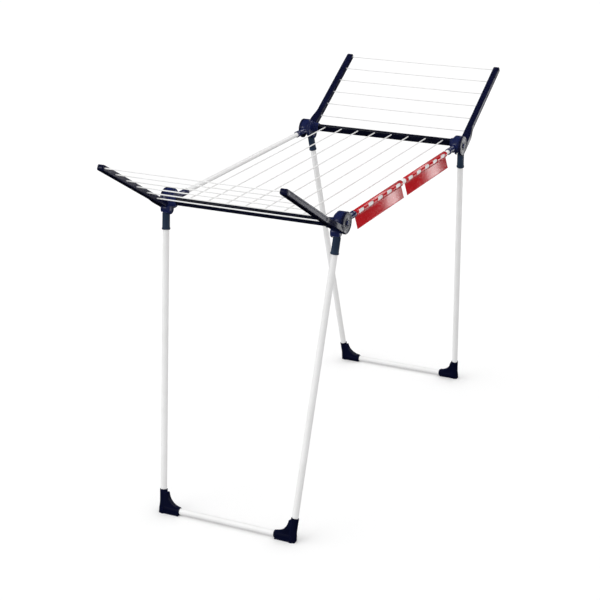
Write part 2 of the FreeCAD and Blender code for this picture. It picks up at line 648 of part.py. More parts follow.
def foot(name, label, sign, side):
    """Two round sockets joined by a web with a hollow arc, all cut flat at the sole."""
    body = doc.addObject("PartDesign::Body", f"{name}_web")
    outline = sketch_on(body, f"{name}_outline", "XZ_Plane")
    lean = math.tan(math.radians(TAPER))
    web_top = "(dims.foot_height - dims.foot_web_drop)"
    toe_x = "dims.foot_inner_x + 3"
    corners = [
        (toe_x, "-dims.foot_sole_cut"),
        ("dims.foot_outer_x", "-dims.foot_sole_cut"),
        ("dims.foot_outer_x", "dims.foot_heel_height"),
        (f"dims.leg_foot_x + {web_top} * {lean:.6f}", web_top),
        (toe_x, web_top),
    ]
    add_outline(outline, [(x if side > 0 else f"-({x})", y) for x, y in corners])
    block = feature(body, "Pad", outline, "dims.foot_web_depth", Midplane=True)
    doc.recompute()
    outboard = edges_beyond(block.Shape, Vector(side, 0, 0), value("dims.foot_outer_x") - 2)
    sides = [edge for edge in outboard if edge not in edges_along(block.Shape, LENGTHWISE, 1.0)]
    round_edges(body, block, sides, "dims.foot_round")

    # The arc meets the toe's top and the leg socket's inner side.
    arc_x = "dims.foot_outer_x - dims.foot_shaft_width - dims.foot_arc"
    arc_z = "dims.foot_toe_height + dims.foot_arc"
    arc = sketch_on(body, f"{name}_arc", "XZ_Plane", "-dims.foot_web_depth")
    add_circle(arc, "2 * dims.foot_arc", arc_x if side > 0 else f"-({arc_x})", arc_z)
    feature(body, "Pocket", arc, "2 * dims.foot_web_depth", Reversed=True)

    below = value("dims.foot_socket_dia / 2")
    shaft = cylinder(f"{name}_shaft", "dims.foot_socket_dia / 2",
                     str((value("dims.foot_height") + below) / math.cos(math.radians(TAPER))),
                     leg_line(-below, side))
    toe_start = value("dims.foot_inner_x") if side > 0 else -value("dims.leg_foot_x")
    rise = value("dims.foot_tube_rise")
    toe = cylinder(f"{name}_toe", "dims.foot_toe_dia / 2", "dims.leg_foot_x - dims.foot_inner_x",
                   Placement(Vector(toe_start, 0, rise), ALONG_X))
    upright = Rotation(ACROSS, -sign * SPLAY)
    floor = box(f"{name}_floor", str(FLOOR_SIZE), str(FLOOR_SIZE), str(FLOOR_DEPTH),
                Placement(upright.multVec(Vector(-FLOOR_SIZE / 2, -FLOOR_SIZE / 2, -FLOOR_DEPTH)),
                          upright))
    leg_hole = cylinder(f"{name}_leg_hole", "dims.leg_dia / 2 + dims.tube_play", "2 * dims.foot_height",
                        leg_line(rise + value("dims.leg_dia / 2") + TUBE_STAND_OFF - 0.2, side))
    past = 1.0
    hole_end = value("dims.foot_outer_x - dims.foot_end_wall")
    hole_start = value("dims.foot_inner_x") - past
    toe_hole = cylinder(f"{name}_toe_hole", "dims.leg_dia / 2 + dims.tube_play",
                        str(hole_end - hole_start),
                        Placement(Vector(hole_start if side > 0 else -hole_end, 0, rise), ALONG_X))
    rivet_hole = cylinder(f"{name}_rivet_hole", "dims.rivet_shank_dia / 2 + dims.pin_clearance",
                          "2 * dims.rivet_shank_depth", rivet_place(sign, side))
    solid = cut(f"{name}_cut", fuse(f"{name}_solid", [body, shaft, toe]),
                fuse(f"{name}_hollows", [floor, leg_hole, toe_hole, rivet_hole]))
    solid.Placement = leg_frame(sign)
    return finish(solid, label)


def rivet_place(sign, side):
    """Where a rivet's shank ends inside a foot's outward face, with Z pointing out of the face."""
    depth = value("dims.foot_socket_dia / 2 - dims.rivet_shank_depth")
    rise = value("dims.foot_tube_rise")
    x = side * (value("dims.leg_foot_x") + rise * math.tan(math.radians(TAPER)))
    return Placement(Vector(x, sign * depth, rise), Rotation(ACROSS, -sign * 90))


def rivets(name, label, sign):
    """One short rivet in the outward face of each foot."""
    pair = []
    for side_name, side in SIDES:
        place = rivet_place(sign, side)
        shank = cylinder(f"{name}_{side_name}_shank", "dims.rivet_shank_dia / 2",
                         "dims.rivet_shank_depth + dims.rivet_head_depth / 2", place)
        seat = Placement(Vector(0, 0, value("dims.rivet_shank_depth + dims.pin_clearance")), Rotation())
        head = cylinder(f"{name}_{side_name}_head", "dims.rivet_head_dia / 2", "dims.rivet_head_depth",
                        place.multiply(seat))
        pair.append(fuse(f"{name}_{side_name}", [shank, head]))
    both = group(f"{name}_group", pair)
    both.Placement = leg_frame(sign)
    return finish(both, label)


def foot_tube(name, label, sign):
    """The tube that joins a pair of feet."""
    half = "(dims.foot_outer_x - dims.foot_end_wall - dims.tube_end_gap)"
    place = Placement(Vector(-value(half), 0, value("dims.foot_tube_rise")), ALONG_X)
    return tube(name, label, "dims.leg_dia", f"2 * {half}", leg_frame(sign).multiply(place))


def leg_frames():
    for end, sign in ENDS:
        for side_name, side in SIDES:
            corner = f"{end}_{side_name}"
            sleeve(f"{corner}_sleeve_part", f"{corner}_leg_sleeve", sign, side)
            leg_tube(f"{corner}_tube_body", f"{corner}_leg_tube", sign, side)
            foot(f"{corner}_foot_part", f"{corner}_foot", sign, side)
        foot_tube(f"{end}_foot_tube_body", f"{end}_foot_tube", sign)
        rivets(f"{end}_rivet_part", f"{end}_foot_rivets", sign)


# ---------------------------------------------------------------- peg holders


def window(name, y):
    """A rounded tool that opens one window in a holder's curl, over the rail's outboard side."""
    tool = box(name, "dims.rail_dia", "dims.window_length", "dims.window_height",
               Placement(Vector(value("dims.rail_dia / 4"), y - value("dims.window_length / 2"),
                                value("dims.window_sill")), Rotation()))
    doc.recompute()
    soft = doc.addObject("Part::Fillet", f"{name}_soft")
    soft.Base = tool
    soft.Edges = rounded_edges(tool.Shape, "dims.window_round")
    return soft


def holder(name, label, start):
    """A strip that curls over the rail, narrows to a waist, and flares out as a plate.

    It is drawn round the rail's line, with the rail along Y.
    """
    length = "dims.holder_length"
    inner = "dims.rail_dia / 2 + dims.holder_play"
    outer = f"{inner} + dims.holder_wall"
    along_y = Rotation(Vector(1, 0, 0), 90)      # own X stays +X, own Y to +Z, own Z to -Y
    far_end = Vector(0, value(length), 0)
    curl_from = -60.0
    curl_span = 180.0
    curl_place = Placement(far_end, along_y * Rotation(Vector(0, 0, 1), curl_from))
    curl = cut(f"{name}_curl",
               cylinder(f"{name}_curl_outer", outer, length, curl_place, angle=str(curl_span)),
               cylinder(f"{name}_curl_inner", inner, length, Placement(far_end, along_y)))

    # The waist bends the other way, on a centre outside the curl's end.
    bend = value(f"{inner} + dims.holder_wall / 2 + dims.holder_waist")
    waist_x = bend * math.cos(math.radians(curl_from))
    waist_z = bend * math.sin(math.radians(curl_from))
    flare = value("dims.holder_flare")
    waist_place = Placement(far_end + Vector(waist_x, 0, waist_z),
                            along_y * Rotation(Vector(0, 0, 1), curl_from + 180.0))
    waist = cut(f"{name}_waist",
                cylinder(f"{name}_waist_outer", "dims.holder_waist + dims.holder_wall / 2", length,
                         waist_place, angle=str(flare - curl_from)),
                cylinder(f"{name}_waist_inner", "dims.holder_waist - dims.holder_wall / 2", length,
                         waist_place))
    plate_turn = Rotation(Vector(0, 1, 0), -flare)
    edge = Vector(waist_x, 0, waist_z) + plate_turn.multVec(
        Vector(-value("dims.holder_waist + dims.holder_wall / 2"), 0, -value("dims.holder_plate")))
    plate = box(f"{name}_plate", "dims.holder_wall", length, "dims.holder_plate",
                Placement(edge, plate_turn))
    lip_at = edge + plate_turn.multVec(Vector(value("dims.holder_wall / 2"), 0, 0)) + far_end
    lip = cylinder(f"{name}_lip", "dims.holder_lip_radius", length, Placement(lip_at, along_y))
    windows = [window(f"{name}_window_{n + 1}", value("dims.holder_length / 2") +
                      (n - (WINDOWS - 1) / 2) * value("dims.holder_pitch")) for n in range(WINDOWS)]
    strip = cut(f"{name}_cut", fuse(f"{name}_solid", [curl, waist, plate, lip]),
                fuse(f"{name}_windows", windows))
    strip.Placement = Placement(Vector(value("dims.rail_x"), value(start), RAIL_Z), Rotation())
    return finish(strip, label)


def holders():
    holder("near_holder_part", "near_peg_holder", "dims.holder_near_y")
    holder("far_holder_part", "far_peg_holder", "dims.holder_far_y")


# ---------------------------------------------------------------- build, check and write


def check_everything():
    doc.recompute()
    for obj in doc.Objects:
        if "Invalid" in obj.State or "Error" in obj.State:
            raise RuntimeError(f"{obj.Name} ({obj.Label}) failed: {obj.State}")
    for node in NODES:
        if node.Shape.isNull() or not node.Shape.isValid():
            raise RuntimeError(f"{node.Label} has no valid shape")


def write_parts():
    os.makedirs("parts", exist_ok=True)
    for node in NODES:
        node.Shape.exportStep(f"parts/{node.Label}.step")
        print(f"{node.Label:28s} solids {len(node.Shape.Solids)}  volume {node.Shape.Volume:12.1f}")


corner_hubs()
pivot_pins()
crossbars()
side_rails()
central_lines()
wing_arms()
wing_lines()
leg_frames()
holders()
check_everything()
write_parts()
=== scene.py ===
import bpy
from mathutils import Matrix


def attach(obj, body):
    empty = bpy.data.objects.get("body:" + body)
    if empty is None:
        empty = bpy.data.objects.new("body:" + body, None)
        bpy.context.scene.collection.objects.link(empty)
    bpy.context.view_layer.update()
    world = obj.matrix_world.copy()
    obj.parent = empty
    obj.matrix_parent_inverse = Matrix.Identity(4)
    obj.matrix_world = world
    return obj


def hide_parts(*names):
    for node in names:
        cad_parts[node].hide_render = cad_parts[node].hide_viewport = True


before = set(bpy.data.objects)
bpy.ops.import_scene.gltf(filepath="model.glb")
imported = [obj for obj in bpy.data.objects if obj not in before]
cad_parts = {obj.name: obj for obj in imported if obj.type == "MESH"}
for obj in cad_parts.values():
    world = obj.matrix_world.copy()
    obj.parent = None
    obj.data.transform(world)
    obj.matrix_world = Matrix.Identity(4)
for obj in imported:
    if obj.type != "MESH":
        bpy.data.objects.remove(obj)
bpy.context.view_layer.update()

import math

import bmesh
import bpy
from mathutils import Matrix, Quaternion, Vector

# Clothes drying rack with two raised wings.  Lengths in this script are millimetres in the row frame
# until a piece is made, which turns them into metres.  Corner pieces are shaped once, at the near
# right corner (+X, -Y), and mirrored to the others.

MM = 0.001
HUB_Y = 467.8               # middle of a crossbar to the middle of the rack, along Y
WING_Y = 447.8              # wing pivot to the middle of the rack, along Y
HUB_Z = 880.4               # height of the wing pivots
FOOT_Y = 643.0              # foot to the middle of the rack, along Y
LEG_TOP_X = 265.4           # leg's line at the height of the wing pivot
LEG_FOOT_X = 205.4          # leg's line at the floor
TONGUE_X = 263.5            # middle of the leg's tongue
LEG_DROP = 22.0             # leg pivot below the corner point, along the leg
RAIL_X = 261.0              # side rail's middle line
RAIL_Z = HUB_Z - 1.0
RAIL_R = 7.0
RAIL_LENGTH = 861.0
TUBE_R = 9.0                # leg tubes and foot tubes
TUBE_FIT = 0.1              # gap between a tube and its socket
WING_RAISE = math.radians(30.3)   # open wings above level
CENTRAL_LINES = 8
LINE_RADIUS = 1.8
LINE_HOLE_R = 1.9
LINE_PITCH = 58.6           # between neighbouring middle lines
LINE_REACH = 466.8          # middle lines' ends, along Y
LINE_RISE = 6.5             # middle lines above the wing pivot
WING_LINES = 6
WING_LINE_FIRST = 88.5      # wing pivot to the nearest wing line
WING_LINE_PITCH = 59.2
WING_LINE_REACH = 259.5     # wing lines' ends, along X
SPLAY = math.atan2(FOOT_Y - HUB_Y, HUB_Z)               # legs' lean, seen from the side
LEG_SPAN = math.hypot(FOOT_Y - HUB_Y, HUB_Z)
TAPER = math.atan2(LEG_TOP_X - LEG_FOOT_X, LEG_SPAN)    # legs' lean, seen from the end

X, Y, Z = Vector((1, 0, 0)), Vector((0, 1, 0)), Vector((0, 0, 1))
CORNERS = {"near_right": (1, 1), "near_left": (-1, 1), "far_right": (1, -1), "far_left": (-1, -1)}


# ---------------------------------------------------------------- shapes


def frame_at(origin, along, up):
    """A placement whose own X runs along, own Y runs up, and own Z is square to both."""
    along, up = along.normalized(), up.normalized()
    across = along.cross(up)
    turn = Matrix((along, up, across)).transposed().to_4x4()
    return Matrix.Translation(origin) @ turn


def skin(rings, place=None, capped=True, looped=False):
    """A surface through rings of equal length, given as points, as a bmesh."""
    bm = bmesh.new()
    place = place or Matrix.Identity(4)
    rows = [[bm.verts.new(place @ Vector(p)) for p in ring] for ring in rings]
    pairs = list(zip(rows, rows[1:])) + ([(rows[-1], rows[0])] if looped else [])
    for low, high in pairs:
        for i in range(len(low)):
            j = (i + 1) % len(low)
            bm.faces.new((low[i], low[j], high[j], high[i]))
    if capped and not looped:
        bm.faces.new(list(reversed(rows[0])))
        bm.faces.new(rows[-1])
    bmesh.ops.recalc_face_normals(bm, faces=bm.faces)
    return bm


def lathe(profile, place, steps=48, looped=False):
    """A surface of revolution about the placement's own X, from (along, radius) pairs.

    An open profile starts and ends close to the axis, where its small end rings are capped.
    """
    rings = []
    for along, radius in profile:
        rings.append([(along, radius * math.cos(2 * math.pi * k / steps),
                       radius * math.sin(2 * math.pi * k / steps)) for k in range(steps)])
    return skin(rings, place, looped=looped)


def arc(centre, radius, start, end, steps):
    """Points on a circle, in degrees, with both ends."""
    turns = [math.radians(start + (end - start) * k / steps) for k in range(steps + 1)]
    return [(centre[0] + radius * math.cos(t), centre[1] + radius * math.sin(t)) for t in turns]


def rounded(left, low, right, high, radius, steps=5):
    """A rectangle with rounded corners, as points in a plane."""
    points = []
    for x, y, start in ((right - radius, low + radius, -90), (right - radius, high - radius, 0),
                        (left + radius, high - radius, 90), (left + radius, low + radius, 180)):
        points += arc((x, y), radius, start, start + 90, steps)
    return points


def prism(outline, low, high, place, soft=0.0, steps=3):
    """An outline in the placement's own XY plane, pulled along own Z, with rounded rims."""
    bm = skin([[(x, y, low) for x, y in outline], [(x, y, high) for x, y in outline]], place)
    if soft:
        caps = [f for f in bm.faces if len(f.verts) == len(outline) and len(outline) > 4]
        rims = {e for f in caps for e in f.edges}
        bmesh.ops.bevel(bm, geom=list(rims), offset=soft, segments=steps, profile=0.5,
                        affect="EDGES", clamp_overlap=True)
    return bm


def as_mesh(bm, name="part"):
    mesh = bpy.data.meshes.new(name)
    bm.to_mesh(mesh)
    bm.free()
    return mesh


def combine(base, tools, operation):
    """The union of a base with its tools, or the base with its tools cut away, as a bmesh."""
    holder = bpy.data.objects.new("combine_base", as_mesh(base))
    bpy.context.scene.collection.objects.link(holder)
    used = [holder]
    for tool in tools:
        other = bpy.data.objects.new("combine_tool", as_mesh(tool))
        bpy.context.scene.collection.objects.link(other)
        used.append(other)
        step = holder.modifiers.new("step", "BOOLEAN")
        step.operation = operation
        step.solver = "EXACT"
        step.object = other
    bpy.context.view_layer.update()
    done = holder.evaluated_get(bpy.context.evaluated_depsgraph_get())
    result = bmesh.new()
    result.from_mesh(done.to_mesh())
    done.to_mesh_clear()
    for other in used:
        data = other.data
        bpy.data.objects.remove(other)
        bpy.data.meshes.remove(data)
    bmesh.ops.remove_doubles(result, verts=result.verts, dist=0.002)
    bmesh.ops.dissolve_degenerate(result, edges=result.edges, dist=0.002)
    return result


def union(base, *tools):
    return combine(base, tools, "UNION")


def carve(base, *tools):
    return combine(base, tools, "DIFFERENCE")


def piece(name, bm, material, body, nodes=(), mirror=(1, 1), crease=35.0):
    """A finished piece from a bmesh in millimetres: mirrored, in metres, shaded, and riding."""
    flip = Matrix.Diagonal((mirror[0] * MM, mirror[1] * MM, MM, 1.0))
    bmesh.ops.transform(bm, matrix=flip, verts=bm.verts)
    if mirror[0] * mirror[1] < 0:
        bmesh.ops.reverse_faces(bm, faces=bm.faces)
    mesh = as_mesh(bm, name)
    mesh.polygons.foreach_set("use_smooth", [True] * len(mesh.polygons))
    mesh.set_sharp_from_angle(angle=math.radians(crease))
    mesh.materials.append(material)
    obj = bpy.data.objects.new(name, mesh)
    bpy.context.scene.collection.objects.link(obj)
    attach(obj, body)
    if nodes:
        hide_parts(*nodes)
    return obj


# ---------------------------------------------------------------- materials


def shader(name):
    material = bpy.data.materials.new(name)
    material.use_nodes = True
    return material, material.node_tree, material.node_tree.nodes["Principled BSDF"]


def node(tree, kind, **settings):
    made = tree.nodes.new(kind)
    for key, setting in settings.items():
        if hasattr(made, key):
            setattr(made, key, setting)
        else:
            made.inputs[key].default_value = setting
    return made


def noise(tree, scale, detail=3.0, roughness=0.5, stretch=(1, 1, 1)):
    """Noise over the row frame, scale in cells per metre."""
    place = node(tree, "ShaderNodeTexCoord")
    mapping = node(tree, "ShaderNodeMapping")
    mapping.inputs["Scale"].default_value = stretch
    cells = node(tree, "ShaderNodeTexNoise")
    cells.inputs["Scale"].default_value = scale
    cells.inputs["Detail"].default_value = detail
    cells.inputs["Roughness"].default_value = roughness
    tree.links.new(place.outputs["Object"], mapping.inputs["Vector"])
    tree.links.new(mapping.outputs["Vector"], cells.inputs["Vector"])
    return cells.outputs["Fac"]


def spread(tree, fac, low, high, from_low=0.3, from_high=0.7):
    """A factor turned into a number from low to high."""
    made = node(tree, "ShaderNodeMapRange")
    made.inputs["From Min"].default_value = from_low
    made.inputs["From Max"].default_value = from_high
    made.inputs["To Min"].default_value = low
    made.inputs["To Max"].default_value = high
    tree.links.new(fac, made.inputs["Value"])
    return made.outputs["Result"]


def blend_colours(tree, fac, first, second):
    made = node(tree, "ShaderNodeMix", data_type="RGBA")
    for socket, colour in ((made.inputs[6], first), (made.inputs[7], second)):
        if isinstance(colour, tuple):
            socket.default_value = (*colour, 1.0)
        else:
            tree.links.new(colour, socket)
    tree.links.new(fac, made.inputs[0])
    return made.outputs[2]


def wear_and_highlight_edges(tree, radius):
    """Near 1 on outer and inner edges, where wear and a painted highlight are tinted in; 0 on flat and
    gently curved faces.
    """
    soft = node(tree, "ShaderNodeBevel", samples=6)
    soft.inputs["Radius"].default_value = radius
    plain = node(tree, "ShaderNodeNewGeometry")
    match = node(tree, "ShaderNodeVectorMath", operation="DOT_PRODUCT")
    tree.links.new(soft.outputs["Normal"], match.inputs[0])
    tree.links.new(plain.outputs["Normal"], match.inputs[1])
    return spread(tree, match.outputs["Value"], 1.0, 0.0, 0.80, 0.995)


def bump(tree, shader_node, height, distance, strength=1.0, under=None):
    made = node(tree, "ShaderNodeBump")
    made.inputs["Strength"].default_value = strength
    made.inputs["Distance"].default_value = distance
    tree.links.new(height, made.inputs["Height"])
    if under is not None:
        tree.links.new(under, made.inputs["Normal"])
    tree.links.new(made.outputs["Normal"], shader_node.inputs["Normal"])
    return made.outputs["Normal"]


def plastic(name, colour, pale, roughness=(0.22, 0.34), wear_and_highlight_colour=None, gloss=0.4, coat=0.25):
    """Moulded plastic: cloudy colour, paler edges that are partly rubbed wear and partly a painted
    highlight, fine mould texture and faint flow marks.
    """
    material, tree, bsdf = shader(name)
    clouds = blend_colours(tree, spread(tree, noise(tree, 26.0, 4.0), 0.0, 1.0), colour, pale)
    # Edges take a paler colour: partly wear, partly a painted highlight along the edges.
    wear_and_highlight_tint = blend_colours(tree, spread(tree, wear_and_highlight_edges(tree, 0.0014), 0.0, 0.8, 0.0, 1.0),
                         clouds, wear_and_highlight_colour or pale)
    tree.links.new(wear_and_highlight_tint, bsdf.inputs["Base Color"])
    scuffs = noise(tree, 160.0, 6.0, 0.65)
    tree.links.new(spread(tree, scuffs, roughness[0], roughness[1]), bsdf.inputs["Roughness"])
    bsdf.inputs["Specular IOR Level"].default_value = gloss
    bsdf.inputs["Coat Weight"].default_value = coat
    bsdf.inputs["Coat Roughness"].default_value = 0.12
    waves = bump(tree, bsdf, noise(tree, 55.0, 2.0), 0.0004, 0.5)
    bump(tree, bsdf, noise(tree, 2200.0, 2.0), 0.00004, 0.6, under=waves)
    return material


def painted_tube(name):
    """White powder coat: faint orange peel, slightly uneven gloss, a trace of grey handling marks."""
    material, tree, bsdf = shader(name)
    marks = noise(tree, 9.0, 8.0, 0.7)
    colour = blend_colours(tree, spread(tree, marks, 0.0, 1.0, 0.45, 0.8),
                           (0.92, 0.92, 0.92), (0.84, 0.84, 0.83))
    tree.links.new(colour, bsdf.inputs["Base Color"])
    tree.links.new(spread(tree, noise(tree, 120.0, 5.0), 0.28, 0.42), bsdf.inputs["Roughness"])
    bsdf.inputs["Specular IOR Level"].default_value = 0.45
    bump(tree, bsdf, noise(tree, 750.0, 2.0), 0.00006, 0.7)
    return material


def line_sheath(name):
    """White plastic sheath with the slight twist of the core showing through."""
    material, tree, bsdf = shader(name)
    place = node(tree, "ShaderNodeTexCoord")
    twist = node(tree, "ShaderNodeTexWave", wave_type="BANDS", bands_direction="DIAGONAL")
    twist.inputs["Scale"].default_value = 160.0
    twist.inputs["Distortion"].default_value = 0.6
    tree.links.new(place.outputs["Object"], twist.inputs["Vector"])
    colour = blend_colours(tree, spread(tree, noise(tree, 14.0, 5.0), 0.0, 1.0),
                           (0.96, 0.96, 0.96), (0.90, 0.90, 0.89))
    tree.links.new(colour, bsdf.inputs["Base Color"])
    tree.links.new(spread(tree, noise(tree, 300.0, 3.0), 0.4, 0.55), bsdf.inputs["Roughness"])
    bump(tree, bsdf, twist.outputs["Fac"], 0.00012, 0.6)
    return material


def steel(name):
    material, tree, bsdf = shader(name)
    drawn = noise(tree, 60.0, 6.0, 0.7, (0.05, 1, 1))
    tree.links.new(blend_colours(tree, drawn, (0.42, 0.43, 0.45), (0.60, 0.61, 0.63)),
                   bsdf.inputs["Base Color"])
    tree.links.new(spread(tree, drawn, 0.25, 0.45), bsdf.inputs["Roughness"])
    bsdf.inputs["Metallic"].default_value = 1.0
    bump(tree, bsdf, noise(tree, 900.0, 4.0, 0.6, (0.05, 1, 1)), 0.00003, 0.6)
    return material


# The edge colours below are paler tints along the edges, partly wear and partly painted highlight.
NAVY = plastic("navy_plastic", (0.006, 0.010, 0.055), (0.011, 0.019, 0.090), wear_and_highlight_colour=(0.08, 0.10, 0.30),
               gloss=0.35, coat=0.15)
ARM = plastic("arm_plastic", (0.003, 0.004, 0.022), (0.005, 0.007, 0.034), wear_and_highlight_colour=(0.05, 0.065, 0.20),
              gloss=0.3, coat=0.05)
# The crossbar's near-black base, much darker than the other navy parts, is painted shade: it copies the
# crossbar's inner face where that face lies in shade.
BAR = plastic("crossbar_plastic", (0.001, 0.002, 0.008), (0.002, 0.003, 0.014), (0.16, 0.26),
              wear_and_highlight_colour=(0.02, 0.025, 0.08), gloss=0.3, coat=0.15)
SLEEVE = plastic("sleeve_plastic", (0.011, 0.026, 0.058), (0.018, 0.038, 0.078), (0.42, 0.55),
                 wear_and_highlight_colour=(0.03, 0.05, 0.11), gloss=0.25, coat=0.0)
FOOT = plastic("foot_plastic", (0.001, 0.002, 0.016), (0.002, 0.004, 0.024), (0.36, 0.48),
               wear_and_highlight_colour=(0.012, 0.018, 0.08), gloss=0.12, coat=0.0)
RED = plastic("red_plastic", (0.50, 0.0015, 0.006), (0.58, 0.003, 0.012), (0.18, 0.30),
              wear_and_highlight_colour=(0.75, 0.05, 0.08), gloss=0.4, coat=0.15)
TUBE = painted_tube("white_tube")
LINE = line_sheath("line_sheath")
STEEL = steel("pin_steel")


# ---------------------------------------------------------------- places


def hub_place(x=0.0):
    """The near right corner point: own X outboard, own Y towards the rack's middle, own Z up."""
    return Matrix.Translation((x, -HUB_Y, HUB_Z))


def wing_place(x=0.0):
    """The near wing pivot's line, with the same directions."""
    return Matrix.Translation((x, -WING_Y, HUB_Z))


def leg_pivot():
    return Vector((0, -HUB_Y - LEG_DROP * math.sin(SPLAY), HUB_Z - LEG_DROP * math.cos(SPLAY)))


def leg_frame():
    """The near leg frame on the floor: X across, Z up the slope of the legs."""
    return Matrix.Translation((0, -FOOT_Y, 0)) @ Matrix.Rotation(-SPLAY, 4, "X")


def leg_line(height):
    """A point of the right leg's line with own X up the leg, in the near leg frame."""
    x = LEG_FOOT_X + height * math.tan(TAPER)
    up = Vector((math.sin(TAPER), 0, math.cos(TAPER)))
    return leg_frame() @ frame_at(Vector((x, 0, height)), up, Vector((0, 1, 0)))


# ---------------------------------------------------------------- hubs

CHEEK_X = 246.5             # inboard face of the hub
DRUM_X = 251.5              # where the hub reaches its full radius
DRUM_END = 274.4            # outboard face of the hub
DRUM_R = 31.0
RIM_ROUND = 2.5
SOCKET_REACH = 107.0        # crossbar's middle to the rail socket's open end
SOCKET_R = 9.4
SOCKET_BORE_R = 7.15
SOCKET_DEPTH = 30.0
BAR_RISE = 2.0              # crossbar's middle above the wing pivot
BAR_DEPTH = 7.5             # half the crossbar's depth, along Y
BAR_HEIGHT = 11.0           # half the crossbar's height
COLLAR_X = 231.0            # open end of the collar round the crossbar
COLLAR = (                  # place along X, half depth, half height and corner radius of its sections
    (COLLAR_X, 9.3, 12.9, 4.4), (COLLAR_X + 0.5, 9.7, 13.2, 4.8), (COLLAR_X + 6, 10.0, 13.4, 5.0),
    (CHEEK_X - 5, 10.8, 14.0, 6.0), (CHEEK_X, 12.0, 15.0, 7.0), (DRUM_X, 13.0, 16.5, 8.0))
LOBE_R = 15.5               # lobe round the leg pivot
ROOM_X = 250.0              # inboard side of the leg's room
ROOM_R = 80.0               # leg's room, from the leg pivot
LANE = 11.7                 # half the width of the room where the leg rests, open or folded
LANE_LENGTH = 60.0
FOLDED_LANE = math.radians(92.0)
BOSS_R = 9.9                # boss on the leg pivot, which the tongue turns in
TONGUE_ROOM_R = 12.6
TONGUE_ROOM = 6.0           # half the width of the tongue's slot


def hub():
    """A drum with rounded rims, a collar for the crossbar, a socket for the rail and a lobe."""
    cheek = [(CHEEK_X, 0.5), (CHEEK_X, 20.5)] + arc((CHEEK_X + 3, 22.0), 3.0, 180, 90, 4)[1:]
    shoulder = [(DRUM_X - 0.6, 25.2), (DRUM_X, 26.2), (DRUM_X + 0.6, 28.6), (DRUM_X + 1.8, 30.2),
                (DRUM_X + 3.6, DRUM_R), (DRUM_END - 4.0, DRUM_R)]
    rim = arc((DRUM_END - RIM_ROUND, DRUM_R - RIM_ROUND), RIM_ROUND, 90, 0, 4)[1:]
    face = [(DRUM_END, 20), (DRUM_END - 0.8, 18), (DRUM_END - 0.8, 0.5)]
    drum = lathe(cheek + shoulder + rim + face, wing_place(), 96)

    mouth = SOCKET_REACH
    socket = lathe([(4, 0.5), (4, 9.6), (mouth - 26, SOCKET_R), (mouth - 13, SOCKET_R),
                    (mouth - 11, 9.9), (mouth - 1.4, 10.0), (mouth - 0.4, 9.6), (mouth, 8.9),
                    (mouth, 7.6), (mouth - 1, SOCKET_BORE_R), (mouth - SOCKET_DEPTH, SOCKET_BORE_R),
                    (mouth - SOCKET_DEPTH, 0.5)], frame_at(Vector((RAIL_X, -HUB_Y, RAIL_Z)), Y, Z), 48)

    rings = []
    for x, depth, height, radius in COLLAR:
        ring = rounded(-depth, BAR_RISE - height, depth, BAR_RISE + height, radius, 5)
        rings.append([(x, y, z) for y, z in ring])
    collar = skin(rings, hub_place())
    depth, height = BAR_DEPTH + 0.2, BAR_HEIGHT + 0.1
    bore = prism(rounded(-depth, BAR_RISE - height, depth, BAR_RISE + height, 4.6, 4), 0, 12,
                 hub_place(COLLAR_X - 1) @ turned_yz())

    at_pivot = Matrix.Translation(leg_pivot())
    lobe = lathe([(CHEEK_X, 0.5), (CHEEK_X, 12.5), (CHEEK_X + 1.0, 14.6), (CHEEK_X + 3.2, LOBE_R),
                  (DRUM_END - 2.5, LOBE_R), (DRUM_END - 0.8, 14.8), (DRUM_END - 0.1, 13.0),
                  (DRUM_END - 0.1, 0.5)], at_pivot, 64)
    body = union(drum, socket, collar, lobe)

    # Room for the leg: the sleeve sweeps from the open leg to the folded one.
    past_end = DRUM_END + 1.0
    sector = [(0.0, 0.0)] + arc((0, 0), ROOM_R, -90 - math.degrees(SPLAY), 8, 12)
    room = prism(sector, ROOM_X, past_end, at_pivot @ turned_yz())
    lane = [(-LANE, -LANE_LENGTH), (LANE, -LANE_LENGTH), (LANE, 0), (-LANE, 0)]
    lanes = [prism(lane, ROOM_X, past_end, at_pivot @ Matrix.Rotation(turn, 4, "X") @ turned_yz())
             for turn in (-SPLAY, FOLDED_LANE)]
    boss = lathe([(ROOM_X - 0.4, 0.5), (ROOM_X - 0.4, BOSS_R), (DRUM_END - 1.4, BOSS_R),
                  (DRUM_END - 0.6, 9.0), (DRUM_END - 0.6, 0.5)], at_pivot, 40)
    low, high = TONGUE_X - TONGUE_ROOM, TONGUE_X + TONGUE_ROOM
    slot = lathe([(low, 0.5), (low, TONGUE_ROOM_R), (high, TONGUE_ROOM_R), (high, 0.5)], at_pivot, 40)
    return carve(union(carve(body, bore, room, *lanes), boss), slot)


def turned_yz():
    """Turns a prism's plane to YZ: own X to +Y, own Y to +Z, own Z to +X."""
    return Matrix(((0, 0, 1, 0), (1, 0, 0, 0), (0, 1, 0, 0), (0, 0, 0, 1)))


# ---------------------------------------------------------------- arms

ARM_OUTER = 281.4           # outboard face of the arm's disc
ARM_INNER = 254.0           # inboard face of the arm
ARM_SLIM = 274.0            # outboard face of the slim part
ARM_LENGTH = 393.8          # wing pivot to the tip
ARM_MIDDLE = -22.0          # arm's middle, square to the arm from the pivot
ARM_HEIGHT = 9.2            # half the arm's height at the pivot; it loses 1 mm by the tip
ARM_INSET = 0.25            # beam's face behind the disc's, beside the disc
SLIM_FROM, SLIM_TO = 58, 110      # stretch where the arm gets slimmer
DEEP_FROM = 29.1            # where the arm's full depth starts, clear of the drum
TIP_ROUND = 7.0
GROOVE_FROM, GROOVE_TO = 114, 378
GROOVE_RUN_OUT = 10
GROOVE_DEPTH = 1.1
DISC_DEPTH = 6.4


